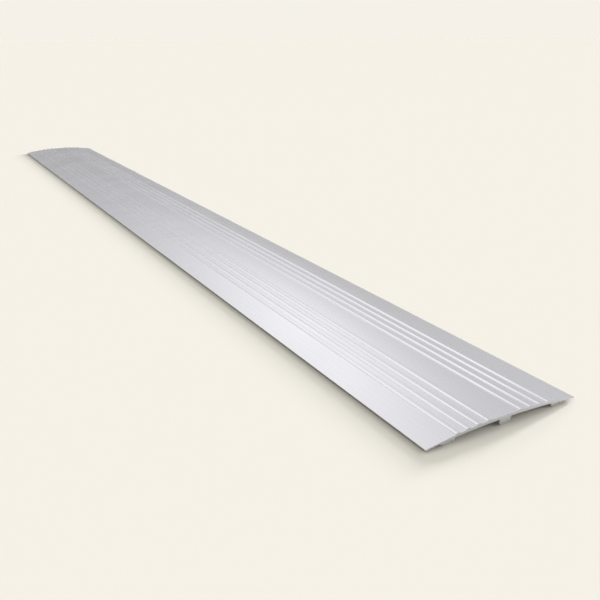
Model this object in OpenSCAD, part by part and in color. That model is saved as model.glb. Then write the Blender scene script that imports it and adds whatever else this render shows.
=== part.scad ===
// Low saddle-shaped threshold ramp: an extruded aluminium deck, arched across its width, that stands on
// three rubber grip strips. X runs along the doorway, Y is the way over the ramp, Z is up.
// The origin is on the floor under the middle of the deck. All sizes are in millimetres.

/* [Deck] */
// Length of the deck along the doorway
deck_length = 1000; // [300:10:2000]
// Width of the deck from edge to edge, the way over the ramp
deck_width = 100; // [90:1:140]
// Height of the top of the arch over the floor, between the ribs
crown_height = 5.5; // [4.8:0.1:9]
// Wall of the deck at the top of the arch
deck_thickness = 1.8; // [1.5:0.1:2.4]
// Thickness of the deck at its two edges
edge_thickness = 0.7; // [0.6:0.1:1.4]
// Air under the two edges
edge_gap = 0.8; // [0.3:0.1:1]
// How much flatter than a half round the nose of each edge is
nose_ease = 0.12; // [0.06:0.02:0.4]

/* [Grip ribs] */
// Ribs on each side of the centre panel
ribs_per_side = 4; // [1:1:5]
// Distance from rib to rib
rib_pitch = 6.55; // [5:0.05:7.5]
// Width of the plain centre panel, between the middles of the two innermost ribs
centre_panel = 21.7; // [12:0.1:24]
// Width of a rib at its root
rib_width = 3.1; // [2.4:0.1:4.5]
// Height of a rib over the arch
rib_height = 0.7; // [0.3:0.1:1]
// Radius on the two upper corners of a rib
rib_corner = 1; // [0.2:0.05:1.2]

/* [Foot rails] */
// Width of the middle foot rail
centre_foot_width = 7.4; // [6.6:0.1:12]
// Width of each outer foot rail
side_foot_width = 8.5; // [7:0.1:10]
// Distance from an edge of the deck to the middle of the outer foot rail beside it
side_foot_inset = 13.25; // [11.5:0.25:17]
// Height of the flared root where a foot rail meets the wall
root_height = 0.7; // [0.3:0.1:1.2]
// How much larger than that height the radius of the flare is
root_ease = 0.2; // [0.1:0.05:0.5]

/* [Grip strips] */
// Width of a grip strip
strip_width = 5; // [4:0.1:5.4]
// Thickness of a grip strip
strip_thickness = 1.5; // [1.2:0.1:1.8]
// How far a grip strip stands out of its foot rail
strip_proud = 1; // [0.6:0.1:1.1]
// Play between a grip strip and each wall of its channel
strip_play = 0.1; // [0.05:0.05:0.2]
// How far a grip strip stops short of each end of the deck
strip_setback = 0.5; // [0:0.5:5]
// Chamfer along the lower corners of a grip strip
strip_chamfer = 0.3; // [0.1:0.05:0.5]
// Grooves along the sole of a grip strip
groove_count = 2; // [0:1:4]
// Width of a sole groove
groove_width = 0.5; // [0.2:0.1:0.7]
// Depth of a sole groove
groove_depth = 0.35; // [0.2:0.05:0.6]

/* [Adhesive tape] */
// Thickness of the tape that holds a strip
tape_thickness = 0.2; // [0.1:0.05:0.4]
// How far the tape stops short of each side of its strip
tape_inset = 0.25; // [0.1:0.05:0.6]

/* [Hidden] */

// Facets of a drawn circle
$fn = 256;

// Colours of the satin metal, the rubber and the tape
metal_colour = [0.86, 0.86, 0.89];
rubber_colour = [0.58, 0.58, 0.57];
tape_colour = [0.86, 0.86, 0.83];

// Radius of an arch of the given half span and rise
function arch_radius(half_span, rise) = (half_span * half_span + rise * rise) / (2 * rise);
// Height of an arch at a place across from its middle
function arch_height(top, radius, y) = top - radius + sqrt(radius * radius - y * y);

half_width = deck_width / 2;

// Upper arch, from edge to edge over the crown
top_radius = arch_radius(half_width, crown_height - edge_gap - edge_thickness);

// Lower arch, under the wall
under_height = crown_height - deck_thickness;
under_radius = arch_radius(half_width, under_height - edge_gap);

// Round nose along each edge, midway between the two arches
nose_radius = edge_thickness / 2 + nose_ease;
nose_y = half_width - nose_radius;
nose_top = arch_height(crown_height, top_radius, nose_y);
nose_z = (nose_top + arch_height(under_height, under_radius, nose_y)) / 2;

// How far a corner of a rib reaches out from its own middle, at the foot of the rib
corner_reach = sqrt(rib_corner * rib_corner - pow(max(rib_corner - rib_height, 0), 2));
// Half of the flat top of a rib
rib_flat = rib_width / 2 - corner_reach;

// Middles of the foot rails, with the front one first
side_foot_y = half_width - side_foot_inset;
foot_rails = [[-side_foot_y, side_foot_width], [0, centre_foot_width], [side_foot_y, side_foot_width]];
// Radius of the flared root on a flank of a foot rail
root_radius = root_height + root_ease;

// Channel in the sole of each foot rail, which the tape and the strip fill
channel_width = strip_width + 2 * strip_play;
channel_roof = strip_thickness + tape_thickness;
strip_length = deck_length - 2 * strip_setback;
tape_width = strip_width - 2 * tape_inset;

// Reach of a cut past the face that it opens
overcut = 1;

// A section drawn in Y and Z, extruded along the doorway
module lengthwise(length) {
    rotate([90, 0, 90]) linear_extrude(height = length, center = true) children();
}

// Disc whose upper edge is an arch with its top at the given height
module arch_disc(top, radius) {
    translate([0, top - radius]) circle(radius);
}

// Sides of the deck, with a round nose along each edge
module deck_envelope() {
    translate([-nose_y, 0]) square([2 * nose_y, crown_height + overcut]);
    for (side = [-1, 1]) translate([side * nose_y, nose_z]) circle(nose_radius);
}

// Flared root on a flank of a foot rail; the side is -1 on the front flank and 1 on the rear one
module foot_root(y, side) {
    root_foot = max(arch_height(under_height, under_radius, y) - root_height, strip_proud);
    difference() {
        translate([side > 0 ? y : y - root_radius, root_foot]) square([root_radius, crown_height]);
        translate([y + side * root_radius, root_foot]) circle(root_radius);
    }
}

// Foot rail that stands under the wall, with upright flanks that flare where they meet the wall
module foot_rail(y, width) {
    translate([y - width / 2, strip_proud]) square([width, crown_height]);
    for (side = [-1, 1]) foot_root(y + side * width / 2, side);
}

// Space under the deck: everything below the lower arch apart from the foot rails
module underside() {
    difference() {
        arch_disc(under_height, under_radius);
        for (rail = foot_rails) foot_rail(rail[0], rail[1]);
    }
}

// Channels for the grip strips
module strip_channels() {
    for (rail = foot_rails)
        translate([rail[0] - channel_width / 2, 0]) square([channel_width, channel_roof]);
}

// Section of a rib with a flat top and two round corners, which goes some way into the wall
module rib_section() {
    root_depth = deck_thickness / 2;
    shoulder = rib_height - rib_corner;
    intersection() {
        union() {
            translate([-rib_flat, -root_depth]) square([2 * rib_flat, root_depth + rib_height]);
            translate([-rib_width / 2, -root_depth]) square([rib_width, root_depth + shoulder]);
            for (side = [-1, 1]) translate([side * rib_flat, shoulder]) circle(rib_corner);
        }
        translate([-rib_width, -root_depth]) square([2 * rib_width, root_depth + rib_height]);
    }
}

// Rib that stands square to the upper arch at a place across it
module grip_rib(y) {
    translate([0, crown_height - top_radius])
        rotate(-asin(y / top_radius))
            translate([0, top_radius])
                rib_section();
}

// Section of the extruded deck
module deck_section() {
    difference() {
        intersection() {
            arch_disc(crown_height, top_radius);
            deck_envelope();
        }
        underside();
        strip_channels();
    }
    for (side = [-1, 1], i = [0 : ribs_per_side - 1])
        grip_rib(side * (centre_panel / 2 + i * rib_pitch));
}

// Section of a grip strip: square shoulders in the channel, chamfered and grooved at the sole
module strip_section() {
    half = strip_width / 2;
    groove_pitch = strip_width / (groove_count + 1);
    difference() {
        polygon([
            [-half, strip_thickness], [-half, strip_chamfer], [strip_chamfer - half, 0],
            [half - strip_chamfer, 0], [half, strip_chamfer], [half, strip_thickness]
        ]);
        for (i = [1 : 1 : groove_count])
            translate([i * groove_pitch - half, 0])
                polygon([
                    [-groove_width / 2, -overcut], [groove_width / 2, -overcut],
                    [groove_width / 2, 0], [0, groove_depth], [-groove_width / 2, 0]
                ]);
    }
}

// Grip strip in the channel at a place across the deck
module grip_strip(y) {
    lengthwise(strip_length) translate([y, 0]) strip_section();
}

// Tape between a grip strip and the roof of its channel
module strip_tape(y) {
    lengthwise(strip_length)
        translate([y - tape_width / 2, strip_thickness]) square([tape_width, tape_thickness]);
}

module deck_profile() { color(metal_colour) lengthwise(deck_length) deck_section(); }

module front_grip_strip() { color(rubber_colour) grip_strip(-side_foot_y); }
module centre_grip_strip() { color(rubber_colour) grip_strip(0); }
module rear_grip_strip() { color(rubber_colour) grip_strip(side_foot_y); }

module front_strip_tape() { color(tape_colour) strip_tape(-side_foot_y); }
module centre_strip_tape() { color(tape_colour) strip_tape(0); }
module rear_strip_tape() { color(tape_colour) strip_tape(side_foot_y); }

deck_profile();
front_grip_strip();
centre_grip_strip();
rear_grip_strip();
front_strip_tape();
centre_strip_tape();
rear_strip_tape();
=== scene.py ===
"""Threshold ramp: a low arched aluminium deck on three rubber grip strips, around its CAD frame."""

import math

import bmesh
import bpy
from bpy.props import FloatProperty, FloatVectorProperty, IntProperty, PointerProperty
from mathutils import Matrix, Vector


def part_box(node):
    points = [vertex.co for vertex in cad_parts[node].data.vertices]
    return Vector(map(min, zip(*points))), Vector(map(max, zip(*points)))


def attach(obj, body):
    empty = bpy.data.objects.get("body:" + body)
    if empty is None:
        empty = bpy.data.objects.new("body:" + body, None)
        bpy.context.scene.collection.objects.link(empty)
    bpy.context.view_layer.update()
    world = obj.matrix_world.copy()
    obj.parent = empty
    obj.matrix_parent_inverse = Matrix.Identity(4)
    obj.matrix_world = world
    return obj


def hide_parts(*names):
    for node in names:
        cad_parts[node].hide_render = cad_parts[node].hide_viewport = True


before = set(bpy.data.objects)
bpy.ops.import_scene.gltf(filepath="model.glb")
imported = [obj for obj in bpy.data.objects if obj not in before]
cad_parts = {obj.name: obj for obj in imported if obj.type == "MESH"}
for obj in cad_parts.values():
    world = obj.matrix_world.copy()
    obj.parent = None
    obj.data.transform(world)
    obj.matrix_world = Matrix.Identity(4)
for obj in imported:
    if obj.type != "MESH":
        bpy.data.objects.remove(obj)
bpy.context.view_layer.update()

bl_info = {
    "name": "Threshold ramp",
    "version": (1, 0, 0),
    "blender": (4, 5, 0),
    "location": "3D View > Sidebar > Ramp",
    "description": "Builds an extruded threshold ramp with grip ribs, foot rails and rubber grip strips",
    "category": "Add Mesh",
}

MM = 0.001
BODY = "root"
DECK_NODE = "deck_profile"
STRIP_NODES = ("front_grip_strip", "centre_grip_strip", "rear_grip_strip")
TAPE_NODES = ("front_strip_tape", "centre_strip_tape", "rear_strip_tape")

# The frame gives the sizes that show in its boxes; the rest are the sizes of the extrusion die.
DECK_LOW, DECK_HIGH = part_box(DECK_NODE)
STRIP_LOW, STRIP_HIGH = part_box(STRIP_NODES[1])
SIDE_STRIP_LOW, SIDE_STRIP_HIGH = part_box(STRIP_NODES[2])
SIDE_FOOT_Y = (SIDE_STRIP_LOW.y + SIDE_STRIP_HIGH.y) / 2


def size(name, description, default, low=0.0, high=2.0):
    """A length that a user may change, in metres."""
    return FloatProperty(
        name=name, description=description, default=default, min=low, max=high,
        unit="LENGTH", subtype="DISTANCE", precision=5,
    )


def colour(name, description, default):
    """A colour that a user may change, as linear red, green and blue."""
    return FloatVectorProperty(
        name=name, description=description, default=default, min=0.0, max=1.0, size=3, subtype="COLOR",
    )


def level(name, description, default, high=10.0):
    """A plain number without a unit, such as a strength or a share."""
    return FloatProperty(name=name, description=description, default=default, min=0.0, max=high)


def tally(name, description, default, low, high):
    """A whole number that a user may change."""
    return IntProperty(name=name, description=description, default=default, min=low, max=high)


class RampDeckSizes(bpy.types.PropertyGroup):
    """Sizes of the extruded deck."""

    length: size("Length", "Length along the doorway", DECK_HIGH.x - DECK_LOW.x)
    width: size("Width", "Width from edge to edge", DECK_HIGH.y - DECK_LOW.y)
    crown_height: size("Crown height", "Top of the arch over the floor, between the ribs", 5.5 * MM)
    wall: size("Wall", "Wall at the top of the arch", 1.8 * MM)
    edge_thickness: size("Edge thickness", "Thickness at the two edges", 0.7 * MM)
    edge_gap: size("Edge gap", "Air under the two edges", 0.8 * MM)
    nose_ease: size("Nose ease", "How much flatter than a half round each nose is", 0.12 * MM)
    end_ease: size("End ease", "Broken edge round each sawn end", 0.1 * MM)
    corner_ease: size("Corner ease", "Radius on the corners of the foot rails and channels", 0.2 * MM)
    length_steps: tally("Length steps", "Panels along the length", 25, 1, 200)


class RampRibSizes(bpy.types.PropertyGroup):
    """Sizes of the grip ribs on top of the deck."""

    per_side: tally("Ribs per side", "Ribs beside the centre panel", 4, 0, 6)
    pitch: size("Rib pitch", "Distance from rib to rib", 6.55 * MM)
    centre_panel: size("Centre panel", "Plain panel between the two innermost ribs", 21.7 * MM)
    width: size("Rib width", "Width of a rib at its root", 3.1 * MM)
    height: size("Rib height", "Height of a rib over the arch", 0.7 * MM)
    corner: size("Rib corner", "Radius on the upper corners of a rib", 1.0 * MM)
    root: size("Rib root", "Reach of the soft corner at the foot of a rib", 0.1 * MM)


class RampFootSizes(bpy.types.PropertyGroup):
    """Sizes of the foot rails and of the strips that they hold."""

    centre_width: size("Centre foot", "Width of the middle foot rail", 7.4 * MM)
    side_width: size("Side foot", "Width of each outer foot rail", 8.5 * MM)
    side_place: size("Side foot place", "From the middle of the deck to an outer foot rail", SIDE_FOOT_Y)
    root_height: size("Root height", "Height of the flared root of a foot rail", 0.7 * MM)
    root_ease: size("Root ease", "How much larger than its height the radius of the flare is", 0.2 * MM)
    strip_width: size("Strip width", "Width of a grip strip", STRIP_HIGH.y - STRIP_LOW.y)
    strip_length: size("Strip length", "Length of a grip strip", STRIP_HIGH.x - STRIP_LOW.x)
    strip_thickness: size("Strip thickness", "Thickness of a grip strip", STRIP_HIGH.z - STRIP_LOW.z)
    strip_proud: size("Strip proud", "How far a strip stands out of its foot rail", 1.0 * MM)
    strip_play: size("Strip play", "Play between a strip and each wall of its channel", 0.1 * MM)
    strip_chamfer: size("Strip chamfer", "Chamfer on the lower corners of a strip", 0.3 * MM)
    groove_count: tally("Grooves", "Grooves in the sole of a strip", 2, 0, 4)
    groove_width: size("Groove width", "Width of a sole groove", 0.5 * MM)
    groove_depth: size("Groove depth", "Depth of a sole groove", 0.35 * MM)
    tape_thickness: size("Tape thickness", "Tape between a strip and its channel", 0.2 * MM)
    strip_corner_ease: size("Strip corner ease", "Radius on the corners of a grip strip", 0.1 * MM)
    strip_end_ease: size("Strip end ease", "Broken edge round each end of a grip strip", 0.03 * MM)


class RampFinishes(bpy.types.PropertyGroup):
    """Colours of the finishes."""

    metal: colour("Satin metal", "Anodised aluminium", (0.860, 0.855, 0.898))
    metal_dark: colour("Satin metal, lines", "Anodised aluminium in the die lines", (0.838, 0.833, 0.875))
    cut: colour("Sawn metal", "Bare aluminium of the sawn ends", (0.70, 0.72, 0.77))
    rubber: colour("Rubber", "Grip strips", (0.56, 0.56, 0.55))
    rubber_dust: colour("Rubber bloom", "Paler bloom on the grip strips", (0.64, 0.64, 0.63))
    tape: colour("Tape", "Double-sided tape", (0.70, 0.70, 0.66))
    tape_fibre: colour("Tape fibre", "Fibres in the tape", (0.58, 0.58, 0.54))


class RampStudio(bpy.types.PropertyGroup):
    """Floor, light and camera."""

    floor: colour("Floor", "Pale floor", (0.573, 0.552, 0.481))
    backdrop: colour("Backdrop", "What the camera sees past the floor", (0.913, 0.880, 0.807))
    dome: level("Dome", "Strength of the even light overhead", 0.33)
    horizon: level("Horizon", "Share of that light that is left at the horizon", 0.43, 1.0)
    far_box: level("Far box", "Extra strength of the softbox behind the far end", 0.59)
    rear_glow: level("Rear glow", "Extra strength of the low light behind the rear edge", 0.40)
    side_box: level("Side box", "Extra strength of the softbox high over the front edge", 0.80)
    front_box: level("Front box", "Extra strength of the softbox in front of the front edge", 0.56)
    end_box: level("End box", "Extra strength of the softbox over the near end", 0.46)
    fill: level("Fill", "Extra strength of the light on the camera's side", 0.48)
    floor_light: level("Floor light", "Strength of the low lights for the floor alone", 10.52, 50.0)
    floor_light_tint: colour("Floor light tint", "Colour of those low lights", (0.925, 0.925, 1.0))
    lens: FloatProperty(
        name="Lens", description="Focal length on a 36 mm sensor", default=41.565, unit="CAMERA",
    )


class Sheet:
    """A node tree under construction: adds nodes and wires them."""

    NODE_STEP = 180

    def __init__(self, tree):
        self.tree = tree

    @staticmethod
    def pick(sockets, name):
        """A socket by place, or the first one in use that has the name."""
        if isinstance(name, int):
            return sockets[name]
        for socket in sockets:
            if socket.name == name and socket.enabled:
                return socket
        raise KeyError(f"no socket named {name}")

    def feed(self, socket, value):
        """Links a socket to an output, or sets its value."""
        if isinstance(value, bpy.types.NodeSocket):
            self.tree.links.new(value, socket)
        else:
            socket.default_value = value

    def add(self, kind, inputs=None, **settings):
        """A new node with its settings, and its inputs fed by name or place."""
        made = self.tree.nodes.new(kind)
        made.location = (self.NODE_STEP * len(self.tree.nodes), 0)
        for name, value in settings.items():
            setattr(made, name, value)
        for name, value in (inputs or {}).items():
            self.feed(self.pick(made.inputs, name), value)
        return made

    def get(self, kind, inputs=None, output=0, **settings):
        """The output of a new node."""
        return self.pick(self.add(kind, inputs, **settings).outputs, output)

    def math(self, operation, *values):
        """A number worked out from one, two or three others."""
        return self.get("ShaderNodeMath", dict(enumerate(values)), operation=operation)

    def vector(self, operation, *values, output="Vector"):
        """A vector worked out from others."""
        return self.get("ShaderNodeVectorMath", dict(enumerate(values)), output, operation=operation)

    def scale(self, vector, factor):
        """A vector times a number."""
        return self.get("ShaderNodeVectorMath", {0: vector, "Scale": factor}, "Vector", operation="SCALE")

    def split(self, vector):
        """The three parts of a vector."""
        return self.add("ShaderNodeSeparateXYZ", {0: vector}).outputs

    def join(self, x, y, z):
        """A vector from three parts."""
        return self.get("ShaderNodeCombineXYZ", {0: x, 1: y, 2: z})

    def clamp(self, value):
        """A number held between nothing and one."""
        return self.get("ShaderNodeClamp", {0: value})


def add_sockets(tree, direction, sockets):
    """Named inputs or outputs of a node group: (name, kind, default)."""
    for name, kind, default in sockets:
        made = tree.interface.new_socket(name=name, in_out=direction, socket_type="NodeSocket" + kind)
        if default is not None:
            made.default_value = default


# Sections, drawn in Y and Z

# Halvings that find where two curves cross
HALVINGS = 60
# Most of a side that the rounding of one of its corners takes up
CORNER_SHARE = 0.45
# How close to the upper arch, in metres, a point counts as on it
ARCH_TOUCH = 1e-7
# Least cosine at a corner, which limits how much longer its outward direction gets
LEAST_COSINE = 0.5


def arch_radius(half_span, rise):
    """Radius of an arch of a given half span and rise."""
    return (half_span ** 2 + rise ** 2) / (2 * rise)


def arch_height(top, radius, y):
    """Height of an arch at a place across from its middle."""
    return top - radius + math.sqrt(radius ** 2 - y ** 2)


def crossing(test, low, high):
    """The place between low and high where a rising test passes zero."""
    for _ in range(HALVINGS):
        middle = (low + high) / 2
        if test(middle) < 0:
            low = middle
        else:
            high = middle
    return (low + high) / 2


def spaced(low, high, step):
    """Even places from low to high, no further apart than a step."""
    count = max(1, math.ceil((high - low) / step))
    return [low + (high - low) * i / count for i in range(count + 1)]


def eased(path, radius, steps=4, least_turn=math.radians(50)):
    """A closed path with its sharp corners rounded."""
    rounded = []
    count = len(path)
    for i, here in enumerate(path):
        before, after = path[i - 1] - here, path[(i + 1) % count] - here
        turn = math.pi - before.angle(after)
        if turn < least_turn:
            rounded.append(here)
            continue
        room = CORNER_SHARE * min(before.length, after.length)
        reach = min(radius * math.tan(turn / 2), room)
        start, end = here + before.normalized() * reach, here + after.normalized() * reach
        for k in range(steps + 1):
            t = k / steps
            rounded.append(start * (1 - t) ** 2 + here * 2 * t * (1 - t) + end * t ** 2)
    return rounded


class DeckSection:
    """Outline of the extruded deck without its ribs, which Geometry Nodes raise."""

    ARCH_STEP = 2 * MM
    FLANK_STEP = 0.32 * MM
    CORNER_STEPS = 10
    ROOT_STEPS = 3
    NOSE_STEPS = 14

    def __init__(self, deck, ribs, feet):
        self.deck, self.ribs, self.feet = deck, ribs, feet
        self.half = deck.width / 2
        self.top_radius = arch_radius(self.half, deck.crown_height - deck.edge_gap - deck.edge_thickness)
        self.under_top = deck.crown_height - deck.wall
        self.under_radius = arch_radius(self.half, self.under_top - deck.edge_gap)

    def top(self, y):
        """Height of the upper arch."""
        return arch_height(self.deck.crown_height, self.top_radius, y)

    def under(self, y):
        """Height of the lower arch."""
        return arch_height(self.under_top, self.under_radius, y)

    def under_between(self, start, end):
        """Points of the lower arch between two others."""
        return [Vector((y, self.under(y))) for y in spaced(start.x, end.x, self.ARCH_STEP)[1:-1]]

    def flank(self, y, side):
        """Upright side of a foot rail, from its sole up to its flared root and the lower arch."""
        sole = self.feet.strip_proud
        foot = max(self.under(y) - self.feet.root_height, sole)
        radius = self.feet.root_height + self.feet.root_ease
        middle = y + side * radius

        def place(angle):
            return Vector((middle - side * radius * math.cos(angle), foot + radius * math.sin(angle)))

        def over(angle):
            return place(angle).y - self.under(place(angle).x)

        end = crossing(over, 0, math.pi / 2)
        flare = [place(angle) for angle in spaced(0, end, self.FLANK_STEP / radius)]
        return [Vector((y, sole))] + flare[1 if foot - sole < self.FLANK_STEP else 0:]

    def channel(self, y):
        """Channel in the sole of a foot rail, from its inner to its outer lip."""
        reach = self.feet.strip_width / 2 + self.feet.strip_play
        roof = self.feet.strip_thickness + self.feet.tape_thickness
        sole = self.feet.strip_proud
        inner, outer = y - reach, y + reach
        return [Vector(corner) for corner in ((inner, sole), (inner, roof), (outer, roof), (outer, sole))]

    def nose(self):
        """Round nose from the lower arch to the upper one."""
        radius = self.deck.edge_thickness / 2 + self.deck.nose_ease
        y = self.half - radius
        z = (self.top(y) + self.under(y)) / 2

        def outside(surface):
            return lambda place: (place - y) ** 2 + (surface(place) - z) ** 2 - radius ** 2

        low_y = crossing(outside(self.under), y, self.half)
        high_y = crossing(outside(self.top), y, self.half)
        low = math.atan2(self.under(low_y) - z, low_y - y)
        high = math.atan2(self.top(high_y) - z, high_y - y)
        turns = [low + (high - low) * i / self.NOSE_STEPS for i in range(self.NOSE_STEPS + 1)]
        return [Vector((y + radius * math.cos(a), z + radius * math.sin(a))) for a in turns]

    def lower_half(self):
        """Underside from the middle channel out to the rear nose."""
        feet = self.feet
        side, reach = feet.side_place, feet.side_width / 2
        centre_flank = self.flank(feet.centre_width / 2, 1)
        inner_flank, outer_flank = self.flank(side - reach, -1), self.flank(side + reach, 1)
        nose = self.nose()
        path = self.channel(0)[2:] + centre_flank
        path += self.under_between(centre_flank[-1], inner_flank[-1]) + inner_flank[::-1]
        path += self.channel(side) + outer_flank
        return path + self.under_between(outer_flank[-1], nose[0]) + nose

    def rib_places(self):
        """Middles of the ribs on the rear half."""
        return [self.ribs.centre_panel / 2 + i * self.ribs.pitch for i in range(self.ribs.per_side)]

    def rib_offsets(self):
        """Places across half a rib, from its middle: close together on its round corner and its root."""
        ribs, steps = self.ribs, self.CORNER_STEPS
        half, corner = ribs.width / 2, ribs.corner
        turn = math.acos(max(1 - ribs.height / corner, 0))
        flat = half - corner * math.sin(turn)
        offsets = [flat + corner * math.sin(turn * i / steps) for i in range(steps + 1)]
        return offsets + spaced(half, half + ribs.root, ribs.root / self.ROOT_STEPS)[1:]

    def upper_half(self, end):
        """Places across the rear half of the upper arch, close together where a rib stands."""
        offsets = self.rib_offsets()
        places, last = [0.0], 0.0
        for middle in self.rib_places():
            places += spaced(last, middle - offsets[-1], self.ARCH_STEP)[1:-1]
            places += [middle - offset for offset in reversed(offsets)]
            places += [middle + offset for offset in offsets]
            last = places.pop()
        return places + spaced(last, end, self.ARCH_STEP)[:-1]

    def outline(self):
        """The outline, counter-clockwise seen from +X, and which of its points are on the upper arch."""
        lower = self.lower_half()
        rear = self.upper_half(lower[-1].x)
        across = rear[:0:-1] + [-y for y in rear]
        mirrored = [Vector((-p.x, p.y)) for p in reversed(lower)]
        upper = [Vector((y, self.top(y))) for y in across]
        path = eased(lower + upper + mirrored, self.deck.corner_ease)
        nose_y = lower[-1].x - ARCH_TOUCH
        raised = [abs(p.y - self.top(p.x)) < ARCH_TOUCH and abs(p.x) < nose_y for p in path]
        return path, raised


def strip_outline(feet, y):
    """Outline of a grip strip: square shoulders in the channel, chamfered and grooved at the sole."""
    half, chamfer, top = feet.strip_width / 2, feet.strip_chamfer, feet.strip_thickness
    pitch, reach = feet.strip_width / (feet.groove_count + 1), feet.groove_width / 2
    sole = [(-half, chamfer), (chamfer - half, 0)]
    for i in range(feet.groove_count):
        middle = (i + 1) * pitch - half
        sole += [(middle - reach, 0), (middle, feet.groove_depth), (middle + reach, 0)]
    sole += [(half - chamfer, 0), (half, chamfer)]
    path = [Vector((y + across, up)) for across, up in sole + [(half, top), (-half, top)]]
    return eased(path, feet.strip_corner_ease, steps=3, least_turn=math.radians(35))


def outward(path):
    """Direction away from the section at each point of a counter-clockwise path, longer at a corner."""
    count = len(path)
    normals = []
    for i in range(count):
        along = (path[(i + 1) % count] - path[i]).normalized()
        normals.append(Vector((along.y, -along.x)))
    directions = []
    for i in range(count):
        middle = (normals[i - 1] + normals[i]).normalized()
        directions.append(middle / max(middle.dot(normals[i]), LEAST_COSINE))
    return directions


def section_object(name, path, raised):
    """The outline as a loop of edges that carries what the extrusion tree reads."""
    mesh = bpy.data.meshes.new(name)
    count = len(path)
    mesh.from_pydata([(0, p.x, p.y) for p in path], [(i, (i + 1) % count) for i in range(count)], [])
    uppers = mesh.attributes.new("upper", "FLOAT", "POINT")
    uppers.data.foreach_set("value", [float(flag) for flag in raised])
    directions = mesh.attributes.new("outward", "FLOAT_VECTOR", "POINT")
    directions.data.foreach_set("vector", [part for d in outward(path) for part in (0.0, d.x, d.y)])
    made = bpy.data.objects.new(name, mesh)
    bpy.context.scene.collection.objects.link(made)
    return made


# Geometry Nodes

# Slope at which the flank of a rib runs out past its root
ROOT_FALL = 4.0
# How close, in metres, points of the walls and the ends are joined
JOIN_REACH = 1e-6
# Least angle between two faces whose edge is shown sharp
SHARP_ANGLE = math.radians(32)
# Inputs that both trees have for the sizes of the ribs
RIB_SOCKETS = (
    ("Ribs per side", "Int", 0), ("Rib pitch", "Float", 0.01), ("Centre panel", "Float", 0.02),
    ("Rib width", "Float", 0.003), ("Rib height", "Float", 0.001), ("Rib corner", "Float", 0.001),
    ("Rib root", "Float", 0.0001),
)


def rib_lift_group():
    """Node group: how far the ribs raise a place on the upper arch."""
    tree = bpy.data.node_groups.new("Grip ribs", "GeometryNodeTree")
    add_sockets(tree, "INPUT", [("Across", "Float", 0.0), ("Upper", "Float", 0.0), *RIB_SOCKETS])
    add_sockets(tree, "OUTPUT", [("Lift", "Float", None)])
    sheet = Sheet(tree)
    given = sheet.add("NodeGroupInput").outputs
    half_panel = sheet.math("MULTIPLY", given["Centre panel"], 0.5)
    away = sheet.math("ABSOLUTE", given["Across"])
    past_panel = sheet.math("SUBTRACT", away, half_panel)
    number = sheet.math("ROUND", sheet.math("DIVIDE", past_panel, given["Rib pitch"]))
    last = sheet.math("SUBTRACT", given["Ribs per side"], 1.0)
    number = sheet.math("MAXIMUM", sheet.math("MINIMUM", number, last), 0.0)
    middle = sheet.math("MULTIPLY_ADD", number, given["Rib pitch"], half_panel)
    offset = sheet.math("ABSOLUTE", sheet.math("SUBTRACT", away, middle))

    def other_leg(hypotenuse, leg):
        squares = [sheet.math("POWER", side, 2.0) for side in (hypotenuse, leg)]
        return sheet.math("SQRT", sheet.math("MAXIMUM", sheet.math("SUBTRACT", *squares), 0.0))

    half_width = sheet.math("MULTIPLY", given["Rib width"], 0.5)
    height, corner = given["Rib height"], given["Rib corner"]
    sunk = sheet.math("MAXIMUM", sheet.math("SUBTRACT", corner, height), 0.0)
    flat = sheet.math("SUBTRACT", half_width, other_leg(corner, sunk))
    past_flat = sheet.math("MAXIMUM", sheet.math("SUBTRACT", offset, flat), 0.0)
    round_drop = sheet.math("SUBTRACT", corner, other_leg(corner, past_flat))
    past_rib = sheet.math("MAXIMUM", sheet.math("SUBTRACT", offset, half_width), 0.0)
    cap = sheet.math("SUBTRACT", height, sheet.math("MULTIPLY_ADD", past_rib, ROOT_FALL, round_drop))
    lift = sheet.math("SMOOTH_MAX", cap, 0.0, given["Rib root"])
    has_ribs = sheet.math("GREATER_THAN", given["Ribs per side"], 0.5)
    ribbed = sheet.math("MULTIPLY", given["Upper"], has_ribs)
    sheet.add("NodeGroupOutput", {"Lift": sheet.math("MULTIPLY", lift, ribbed)})
    return tree


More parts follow.
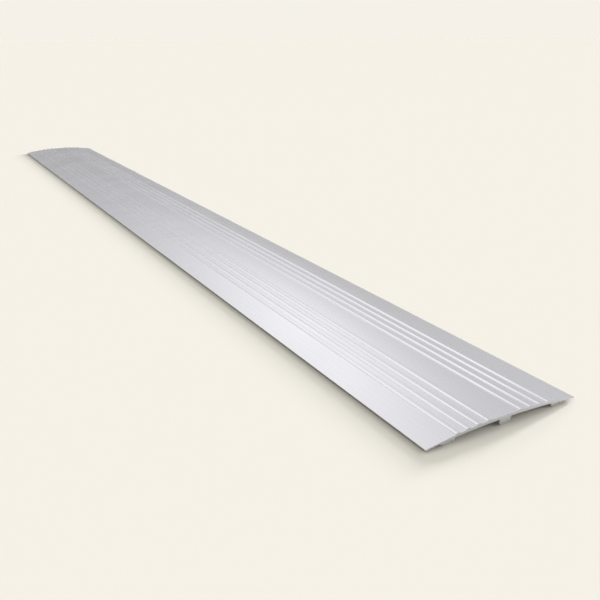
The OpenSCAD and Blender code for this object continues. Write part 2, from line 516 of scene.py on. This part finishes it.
def extrusion_tree():
    """Geometry Nodes tree: a section pushed along X, ribbed on top, with closed ends and broken edges."""
    tree = bpy.data.node_groups.new("Extruded section", "GeometryNodeTree")
    add_sockets(tree, "INPUT", [
        ("Section", "Geometry", None), ("Length", "Float", 1.0), ("Length steps", "Int", 25),
        ("End ease", "Float", 0.0), *RIB_SOCKETS, ("Finish", "Material", None),
    ])
    add_sockets(tree, "OUTPUT", [("Solid", "Geometry", None)])
    sheet = Sheet(tree)
    given = sheet.add("NodeGroupInput").outputs
    ease = given["End ease"]

    def attribute(name, kind):
        return sheet.get("GeometryNodeInputNamedAttribute", {"Name": name}, "Attribute", data_type=kind)

    place = sheet.get("GeometryNodeInputPosition")
    away = attribute("outward", "FLOAT_VECTOR")

    ribs = sheet.add("GeometryNodeGroup", node_tree=rib_lift_group())
    sheet.feed(ribs.inputs["Across"], sheet.split(place)["Y"])
    sheet.feed(ribs.inputs["Upper"], attribute("upper", "FLOAT"))
    for name, _, _ in RIB_SOCKETS:
        sheet.feed(ribs.inputs[name], given[name])
    section = sheet.get("GeometryNodeSetPosition", {
        "Geometry": given["Section"], "Offset": sheet.scale(away, ribs.outputs["Lift"]),
    })

    around = sheet.get(
        "GeometryNodeAttributeDomainSize", {"Geometry": section}, "Point Count", component="MESH",
    )
    last_station = sheet.math("ADD", given["Length steps"], 2.0)
    grid = sheet.get("GeometryNodeMeshGrid", {
        "Size X": 1.0, "Size Y": 1.0,
        "Vertices X": sheet.math("ADD", around, 1.0), "Vertices Y": sheet.math("ADD", last_station, 1.0),
    }, "Mesh")
    cell = sheet.split(place)
    index = sheet.math("ROUND", sheet.math("MULTIPLY", sheet.math("ADD", cell["X"], 0.5), around))
    index = sheet.math("FLOORED_MODULO", index, around)
    station = sheet.math("ROUND", sheet.math("MULTIPLY", sheet.math("ADD", cell["Y"], 0.5), last_station))

    def sampled(value):
        return sheet.get(
            "GeometryNodeSampleIndex", {"Geometry": section, "Value": value, "Index": index}, "Value",
            data_type="FLOAT_VECTOR", domain="POINT",
        )

    at_start = sheet.clamp(sheet.math("SUBTRACT", 1.0, station))
    at_end = sheet.clamp(sheet.math("SUBTRACT", station, sheet.math("SUBTRACT", last_station, 1.0)))
    along = sheet.clamp(sheet.math("DIVIDE", sheet.math("SUBTRACT", station, 1.0), given["Length steps"]))
    inner_length = sheet.math("MULTIPLY_ADD", ease, -2.0, given["Length"])
    x = sheet.math("MULTIPLY", sheet.math("SUBTRACT", along, 0.5), inner_length)
    x = sheet.math("MULTIPLY_ADD", ease, sheet.math("SUBTRACT", at_end, at_start), x)
    at_rim = sheet.math("ADD", at_start, at_end)
    inset = sheet.math("MULTIPLY", ease, sheet.math("MULTIPLY", at_rim, -1.0))
    wall_place = sheet.vector("ADD", sampled(place), sheet.scale(sampled(away), inset))
    wall_place = sheet.vector("ADD", wall_place, sheet.join(x, 0.0, 0.0))
    walls = sheet.get("GeometryNodeSetPosition", {"Geometry": grid, "Position": wall_place})

    drawn_in = sheet.split(sheet.vector("SUBTRACT", place, sheet.scale(away, ease)))
    rim = sheet.get("GeometryNodeSetPosition", {
        "Geometry": section, "Position": sheet.join(drawn_in["Y"], drawn_in["Z"], 0.0),
    })
    rim = sheet.get("GeometryNodeMeshToCurve", {"Mesh": rim})
    flat = sheet.get("GeometryNodeFillCurve", {"Curve": rim})
    flat = sheet.get(
        "GeometryNodeStoreNamedAttribute", {"Geometry": flat, "Name": "sawn", "Value": 1.0},
        data_type="FLOAT", domain="FACE",
    )
    spot = sheet.split(place)
    ends = []
    for side in (0.5, -0.5):
        end_x = sheet.math("MULTIPLY", given["Length"], side)
        end = sheet.get("GeometryNodeSetPosition", {
            "Geometry": flat, "Position": sheet.join(end_x, spot["X"], spot["Y"]),
        })
        ends.append(end if side > 0 else sheet.get("GeometryNodeFlipFaces", {"Mesh": end}))

    joined = sheet.add("GeometryNodeJoinGeometry")
    for part in (walls, *ends):
        sheet.feed(joined.inputs[0], part)
    solid = sheet.get("GeometryNodeMergeByDistance", {
        "Geometry": joined.outputs[0], "Distance": JOIN_REACH,
    })
    solid = sheet.get("GeometryNodeSetShadeSmooth", {"Geometry": solid, "Shade Smooth": True})
    solid = sheet.get("GeometryNodeRealizeInstances", {"Geometry": solid})
    solid = sheet.get("GeometryNodeSetMaterial", {"Geometry": solid, "Material": given["Finish"]})
    sheet.add("NodeGroupOutput", {"Solid": solid})
    return tree


def extruded(name, section, values):
    """A piece made from a section by the extrusion tree, as a plain mesh."""
    tree = bpy.data.node_groups.get("Extruded section") or extrusion_tree()
    modifier = section.modifiers.new("Extrusion", "NODES")
    modifier.node_group = tree
    for item in tree.interface.items_tree:
        if item.item_type == "SOCKET" and item.in_out == "INPUT" and item.name in values:
            modifier[item.identifier] = values[item.name]
    section.update_tag()
    graph = bpy.context.evaluated_depsgraph_get()
    mesh = bpy.data.meshes.new_from_object(
        section.evaluated_get(graph), preserve_all_data_layers=True, depsgraph=graph,
    )
    section.modifiers.remove(modifier)
    bpy.data.objects.remove(section)
    mesh.name = name
    mesh.set_sharp_from_angle(angle=SHARP_ANGLE)
    check_closed(name, mesh)
    made = bpy.data.objects.new(name, mesh)
    bpy.context.scene.collection.objects.link(made)
    return made


def check_closed(name, mesh):
    """Stops the build if a mesh has an open seam or is inside out."""
    shape = bmesh.new()
    shape.from_mesh(mesh)
    open_edges = sum(1 for edge in shape.edges if not edge.is_manifold)
    volume = shape.calc_volume(signed=True)
    shape.free()
    if open_edges or volume <= 0:
        raise RuntimeError(f"{name} isn't a closed solid: {open_edges} open edges, volume {volume}")


# Materials

# Range that most values of a noise texture lie in
NOISE_SPAN = (0.3, 0.7)


def new_material(name):
    """A material without nodes, and the sheet to wire it on."""
    made = bpy.data.materials.new(name)
    made.use_nodes = True
    made.node_tree.nodes.clear()
    return made, Sheet(made.node_tree)


def finish_material(sheet, inputs):
    """The surface shader and the output of a material."""
    shader = sheet.add("ShaderNodeBsdfPrincipled", inputs)
    sheet.add("ShaderNodeOutputMaterial", {"Surface": shader.outputs["BSDF"]})


def noise(sheet, place, scale, detail, roughness):
    """Soft noise around one half."""
    return sheet.get("ShaderNodeTexNoise", {
        "Vector": place, "Scale": scale, "Detail": detail, "Roughness": roughness,
    }, "Fac")


def drawn_lines_group():
    """Shader group: fine lines that the extrusion die leaves along X."""
    found = bpy.data.node_groups.get("Drawn lines")
    if found:
        return found
    tree = bpy.data.node_groups.new("Drawn lines", "ShaderNodeTree")
    add_sockets(tree, "INPUT", [
        ("Vector", "Vector", None), ("Lines per metre", "Float", 1500.0),
        ("Waver per metre", "Float", 2.0), ("Softness", "Float", 0.5),
    ])
    add_sockets(tree, "OUTPUT", [("Lines", "Float", None)])
    sheet = Sheet(tree)
    given = sheet.add("NodeGroupInput").outputs
    stretch = sheet.join(given["Waver per metre"], given["Lines per metre"], given["Lines per metre"])
    place = sheet.vector("MULTIPLY", given["Vector"], stretch)
    sheet.add("NodeGroupOutput", {"Lines": noise(sheet, place, 1.0, 6.0, given["Softness"])})
    return tree


def grain_group():
    """Shader group: fine grain of a matt surface, and the slow mottling over it."""
    found = bpy.data.node_groups.get("Surface grain")
    if found:
        return found
    tree = bpy.data.node_groups.new("Surface grain", "ShaderNodeTree")
    add_sockets(tree, "INPUT", [
        ("Vector", "Vector", None), ("Grains per metre", "Float", 4000.0),
        ("Patches per metre", "Float", 25.0),
    ])
    add_sockets(tree, "OUTPUT", [("Grain", "Float", None), ("Patches", "Float", None)])
    sheet = Sheet(tree)
    given = sheet.add("NodeGroupInput").outputs
    grain = noise(sheet, given["Vector"], given["Grains per metre"], 3.0, 0.6)
    patches = noise(sheet, given["Vector"], given["Patches per metre"], 2.0, 0.5)
    sheet.add("NodeGroupOutput", {"Grain": grain, "Patches": patches})
    return tree


def shader_group(sheet, tree, inputs):
    """A shader group placed in a material with its own values."""
    made = sheet.add("ShaderNodeGroup", node_tree=tree)
    for name, value in inputs.items():
        sheet.feed(made.inputs[name], value)
    return made.outputs


def ranged(sheet, value, low, high, to_low=0.0, to_high=1.0):
    """A value moved from one range to another and held inside it."""
    return sheet.get("ShaderNodeMapRange", {
        "Value": value, "From Min": low, "From Max": high, "To Min": to_low, "To Max": to_high,
    }, "Result")


def blended(sheet, factor, first, second):
    """A colour between two others."""
    inputs = {"Factor": factor, "A": first, "B": second}
    return sheet.get("ShaderNodeMix", inputs, "Result", data_type="RGBA")


def relief(sheet, height, strength, depth):
    """The normal of a surface with fine relief."""
    return sheet.get("ShaderNodeBump", {
        "Height": height, "Strength": strength, "Distance": depth,
    }, "Normal")


def opaque(values):
    """A colour with full alpha."""
    return (*values, 1.0)


def satin_metal(finishes):
    """Satin anodised aluminium with lengthwise die lines, and bare sawn ends."""
    made, sheet = new_material("satin_aluminium")
    place = sheet.get("ShaderNodeTexCoord", output="Object")
    lines = shader_group(sheet, drawn_lines_group(), {
        "Vector": place, "Lines per metre": 900.0, "Waver per metre": 1.2, "Softness": 0.65,
    })["Lines"]
    grain = shader_group(sheet, grain_group(), {
        "Vector": place, "Grains per metre": 3500.0, "Patches per metre": 22.0,
    })
    sawn = sheet.get(
        "ShaderNodeAttribute", output="Fac", attribute_name="sawn", attribute_type="GEOMETRY",
    )
    saw_marks = shader_group(sheet, drawn_lines_group(), {
        "Vector": sheet.vector("MULTIPLY", place, (0.0, 1.0, 0.25)),
        "Lines per metre": 1800.0, "Waver per metre": 1.0, "Softness": 0.6,
    })["Lines"]
    streak = ranged(sheet, lines, *NOISE_SPAN)
    satin = blended(sheet, streak, opaque(finishes.metal_dark), opaque(finishes.metal))
    base = blended(sheet, sawn, satin, opaque(finishes.cut))
    patch_rough = ranged(sheet, grain["Patches"], *NOISE_SPAN, 0.26, 0.29)
    line_rough = ranged(sheet, lines, *NOISE_SPAN, 0.02, -0.02)
    satin_rough = sheet.math("ADD", patch_rough, line_rough)
    rough = sheet.math("MULTIPLY_ADD", sawn, 0.14, satin_rough)
    height = sheet.math("MULTIPLY_ADD", grain["Grain"], 0.35, lines)
    height = sheet.math("MULTIPLY_ADD", sawn, sheet.math("SUBTRACT", saw_marks, height), height)
    finish_material(sheet, {
        "Base Color": base, "Metallic": 1.0, "Roughness": rough,
        "Normal": relief(sheet, height, 0.06, 0.05 * MM),
    })
    return made


def grey_rubber(finishes):
    """Matt grey rubber with faint extrusion lines and a paler bloom."""
    made, sheet = new_material("grey_rubber")
    place = sheet.get("ShaderNodeTexCoord", output="Object")
    lines = shader_group(sheet, drawn_lines_group(), {
        "Vector": place, "Lines per metre": 1200.0, "Waver per metre": 4.0, "Softness": 0.5,
    })["Lines"]
    grain = shader_group(sheet, grain_group(), {
        "Vector": place, "Grains per metre": 6000.0, "Patches per metre": 60.0,
    })
    bloom = sheet.math("MULTIPLY", ranged(sheet, grain["Patches"], 0.4, 0.7), grain["Grain"])
    base = blended(sheet, bloom, opaque(finishes.rubber), opaque(finishes.rubber_dust))
    rough = ranged(sheet, grain["Grain"], *NOISE_SPAN, 0.68, 0.86)
    height = sheet.math("MULTIPLY_ADD", lines, 0.5, grain["Grain"])
    finish_material(sheet, {
        "Base Color": base, "Roughness": rough, "Specular IOR Level": 0.35,
        "Normal": relief(sheet, height, 0.3, 0.05 * MM),
    })
    return made


def adhesive_tape(finishes):
    """Off-white double-sided tape with short fibres."""
    made, sheet = new_material("adhesive_tape")
    place = sheet.get("ShaderNodeTexCoord", output="Object")
    grain = shader_group(sheet, grain_group(), {
        "Vector": place, "Grains per metre": 2500.0, "Patches per metre": 40.0,
    })
    fibre = sheet.math("MULTIPLY", grain["Grain"], ranged(sheet, grain["Patches"], 0.35, 0.65, 0.5, 1.0))
    shade = ranged(sheet, fibre, 0.2, 0.5)
    base = blended(sheet, shade, opaque(finishes.tape), opaque(finishes.tape_fibre))
    rough = ranged(sheet, grain["Grain"], *NOISE_SPAN, 0.5, 0.65)
    finish_material(sheet, {
        "Base Color": base, "Roughness": rough, "Normal": relief(sheet, grain["Grain"], 0.2, 0.03 * MM),
    })
    return made


# Operators


class RAMP_OT_studio(bpy.types.Operator):
    """Set up the floor, the soft light and the camera."""

    bl_idname = "ramp.build_studio"
    bl_label = "Floor, light and camera"

    FLOOR_REACH = 80.0
    FLOOR_DROP = 0.02 * MM
    CAMERA_PLACE = (0.7066, -0.23599, 0.17847)
    CAMERA_TURN = math.radians(59.951)
    CAMERA_TILT = math.radians(20.826)
    CAMERA_CLIP = (0.01, 300.0)
    SENSOR = 36.0
    WHITE = (1.0, 1.0, 1.0)

    # How high over the horizon, as a sine, the dome reaches its full strength
    HORIZON_REACH = 0.5
    # How high over the horizon, as a sine, the backdrop that metal mirrors has faded out
    BACKDROP_RISE = 0.05
    # Soft lights in the dome: turn from the far end towards the rear, height, both in degrees, and
    # sharpness
    SOFT_LIGHTS = {
        "far_box": (26, 27.7, 44),
        "rear_glow": (58.5, 7.3, 8.3),
        "side_box": (-13, 57, 6.7),
        "front_box": (-50, 20, 6),
        "end_box": (130, 40, 5),
        "fill": (198, 12, 5),
    }
    # Low lights for the floor alone, all on the rear side, which draw the soft shadow in front: turn,
    # height and apparent size, in degrees, and share of strength
    FLOOR_LIGHTS = (
        (74, 8, 6, 1.0),
        (80, 20, 20, 0.185),
        (50, 10, 8, 0.154),
        (120, 25, 25, 0.123),
    )

    @staticmethod
    def direction(turn, height):
        """Unit vector towards a light, from angles in degrees."""
        turn, height = math.radians(turn), math.radians(height)
        flat = math.cos(height)
        return Vector((-math.cos(turn) * flat, math.sin(turn) * flat, math.sin(height)))

    def build_floor(self, studio):
        """Wide floor, just under the strips."""
        reach, drop = self.FLOOR_REACH, self.FLOOR_DROP
        corners = [(x * reach, y * reach, -drop) for x, y in ((-1, -1), (1, -1), (1, 1), (-1, 1))]
        mesh = bpy.data.meshes.new("floor")
        mesh.from_pydata(corners, [], [(0, 1, 2, 3)])
        floor = bpy.data.objects.new("floor", mesh)
        bpy.context.scene.collection.objects.link(floor)
        material, sheet = new_material("pale_floor")
        finish_material(sheet, {
            "Base Color": opaque(studio.floor), "Roughness": 1.0, "Specular IOR Level": 0.0,
        })
        mesh.materials.append(material)
        return floor

    def build_dome(self, studio):
        """Pale dome with soft lights in it, and the backdrop that the camera and the metal see."""
        world = bpy.data.worlds.new("soft_dome")
        world.use_nodes = True
        world.node_tree.nodes.clear()
        sheet = Sheet(world.node_tree)
        look = sheet.vector("NORMALIZE", sheet.get("ShaderNodeTexCoord", output="Generated"))
        rise = sheet.split(look)["Z"]
        strength = sheet.get("ShaderNodeMapRange", {
            "Value": rise, "From Min": 0.0, "From Max": self.HORIZON_REACH,
            "To Min": studio.dome * studio.horizon, "To Max": studio.dome,
        }, "Result", interpolation_type="SMOOTHSTEP")
        for name, (turn, height, sharpness) in self.SOFT_LIGHTS.items():
            facing = sheet.vector("DOT_PRODUCT", look, self.direction(turn, height), output="Value")
            away = sheet.math("MULTIPLY", sheet.math("SUBTRACT", facing, 1.0), sharpness)
            falloff = sheet.math("EXPONENT", away)
            strength = sheet.math("MULTIPLY_ADD", falloff, getattr(studio, name), strength)
        light = sheet.get("ShaderNodeBackground", {"Color": opaque(self.WHITE), "Strength": strength})
        seen = sheet.get("ShaderNodeBackground", {"Color": opaque(studio.backdrop), "Strength": 1.0})
        rays = sheet.add("ShaderNodeLightPath").outputs
        mirrored = sheet.math("MAXIMUM", rays["Is Glossy Ray"], rays["Is Transmission Ray"])
        behind = ranged(sheet, rise, 0.0, self.BACKDROP_RISE, 1.0, 0.0)
        shown = sheet.math("MAXIMUM", rays["Is Camera Ray"], sheet.math("MULTIPLY", mirrored, behind))
        mixed = sheet.get("ShaderNodeMixShader", {0: shown, 1: light, 2: seen})
        sheet.add("ShaderNodeOutputWorld", {"Surface": mixed})
        bpy.context.scene.world = world

    def build_floor_lights(self, studio, floor):
        """Lamps that are linked to the floor and add no light to the ramp."""
        lit = bpy.data.collections.new("lit_by_floor_lights")
        lit.objects.link(floor)
        for turn, height, spread, share in self.FLOOR_LIGHTS:
            lamp = bpy.data.lights.new("floor_light", "SUN")
            lamp.color = studio.floor_light_tint
            lamp.energy = studio.floor_light * share
            lamp.angle = math.radians(spread)
            made = bpy.data.objects.new("floor_light", lamp)
            made.rotation_euler = self.direction(turn, height).to_track_quat("Z", "Y").to_euler()
            made.light_linking.receiver_collection = lit
            bpy.context.scene.collection.objects.link(made)

    def build_camera(self, studio):
        """Camera at the photograph's place, turned from +Y towards -X and tilted down."""
        data = bpy.data.cameras.new("photo_camera")
        data.sensor_width = self.SENSOR
        data.lens = studio.lens
        data.clip_start, data.clip_end = self.CAMERA_CLIP
        camera = bpy.data.objects.new("photo_camera", data)
        turn, tilt = self.CAMERA_TURN, self.CAMERA_TILT
        flat = math.cos(tilt)
        forward = Vector((-math.sin(turn) * flat, math.cos(turn) * flat, -math.sin(tilt)))
        camera.location = self.CAMERA_PLACE
        camera.rotation_euler = forward.to_track_quat("-Z", "Y").to_euler()
        bpy.context.scene.collection.objects.link(camera)
        bpy.context.scene.camera = camera

    def execute(self, context):
        studio = context.scene.ramp_studio
        context.scene.view_settings.view_transform = "Standard"
        floor = self.build_floor(studio)
        self.build_dome(studio)
        self.build_floor_lights(studio, floor)
        self.build_camera(studio)
        return {"FINISHED"}


class RAMP_OT_deck(bpy.types.Operator):
    """Extrude the ribbed aluminium deck."""

    bl_idname = "ramp.build_deck"
    bl_label = "Deck"

    def execute(self, context):
        scene = context.scene
        deck, ribs = scene.ramp_deck, scene.ramp_ribs
        path, raised = DeckSection(deck, ribs, scene.ramp_feet).outline()
        made = extruded("ribbed_deck", section_object("deck_section", path, raised), {
            "Length": deck.length, "Length steps": deck.length_steps, "End ease": deck.end_ease,
            "Ribs per side": ribs.per_side, "Rib pitch": ribs.pitch, "Centre panel": ribs.centre_panel,
            "Rib width": ribs.width, "Rib height": ribs.height, "Rib corner": ribs.corner,
            "Rib root": ribs.root, "Finish": satin_metal(scene.ramp_finishes),
        })
        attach(made, BODY)
        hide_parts(DECK_NODE)
        return {"FINISHED"}


class RAMP_OT_grip_strips(bpy.types.Operator):
    """Extrude the three rubber grip strips."""

    bl_idname = "ramp.build_grip_strips"
    bl_label = "Grip strips"

    def execute(self, context):
        scene = context.scene
        feet, rubber = scene.ramp_feet, grey_rubber(scene.ramp_finishes)
        for node, place in zip(STRIP_NODES, (-feet.side_place, 0.0, feet.side_place)):
            path = strip_outline(feet, place)
            section = section_object(node + "_section", path, [False] * len(path))
            made = extruded(node.replace("grip", "rubber_grip"), section, {
                "Length": feet.strip_length, "Length steps": scene.ramp_deck.length_steps,
                "End ease": feet.strip_end_ease, "Ribs per side": 0, "Finish": rubber,
            })
            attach(made, BODY)
            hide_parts(node)
        return {"FINISHED"}


class RAMP_OT_tapes(bpy.types.Operator):
    """Give the CAD tapes their finish."""

    bl_idname = "ramp.finish_tapes"
    bl_label = "Adhesive tapes"

    def execute(self, context):
        tape = adhesive_tape(context.scene.ramp_finishes)
        for name in TAPE_NODES:
            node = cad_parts[name]
            node.data.materials.clear()
            node.data.materials.append(tape)
        return {"FINISHED"}


class RAMP_PT_sidebar(bpy.types.Panel):
    """Sizes, colours and steps of the ramp."""

    bl_label = "Threshold ramp"
    bl_idname = "RAMP_PT_sidebar"
    bl_space_type = "VIEW_3D"
    bl_region_type = "UI"
    bl_category = "Ramp"

    def draw(self, context):
        for title, name, _ in SETTINGS:
            box = self.layout.box()
            box.label(text=title)
            group = getattr(context.scene, name)
            for setting in group.bl_rna.properties:
                if setting.identifier not in ("rna_type", "name"):
                    box.prop(group, setting.identifier)
        for step in STEPS:
            self.layout.operator(step.bl_idname)


SETTINGS = (
    ("Deck", "ramp_deck", RampDeckSizes),
    ("Grip ribs", "ramp_ribs", RampRibSizes),
    ("Foot rails and strips", "ramp_feet", RampFootSizes),
    ("Finishes", "ramp_finishes", RampFinishes),
    ("Studio", "ramp_studio", RampStudio),
)
STEPS = (RAMP_OT_studio, RAMP_OT_deck, RAMP_OT_grip_strips, RAMP_OT_tapes)
CLASSES = (*(group for _, _, group in SETTINGS), *STEPS, RAMP_PT_sidebar)


def register():
    for made in CLASSES:
        bpy.utils.register_class(made)
    for _, name, group in SETTINGS:
        setattr(bpy.types.Scene, name, PointerProperty(type=group))


def unregister():
    for _, name, _ in SETTINGS:
        delattr(bpy.types.Scene, name)
    for made in reversed(CLASSES):
        bpy.utils.unregister_class(made)


def main():
    register()
    bpy.ops.ramp.build_studio()
    bpy.ops.ramp.build_deck()
    bpy.ops.ramp.build_grip_strips()
    bpy.ops.ramp.finish_tapes()


if __name__ == "__main__":
    main()
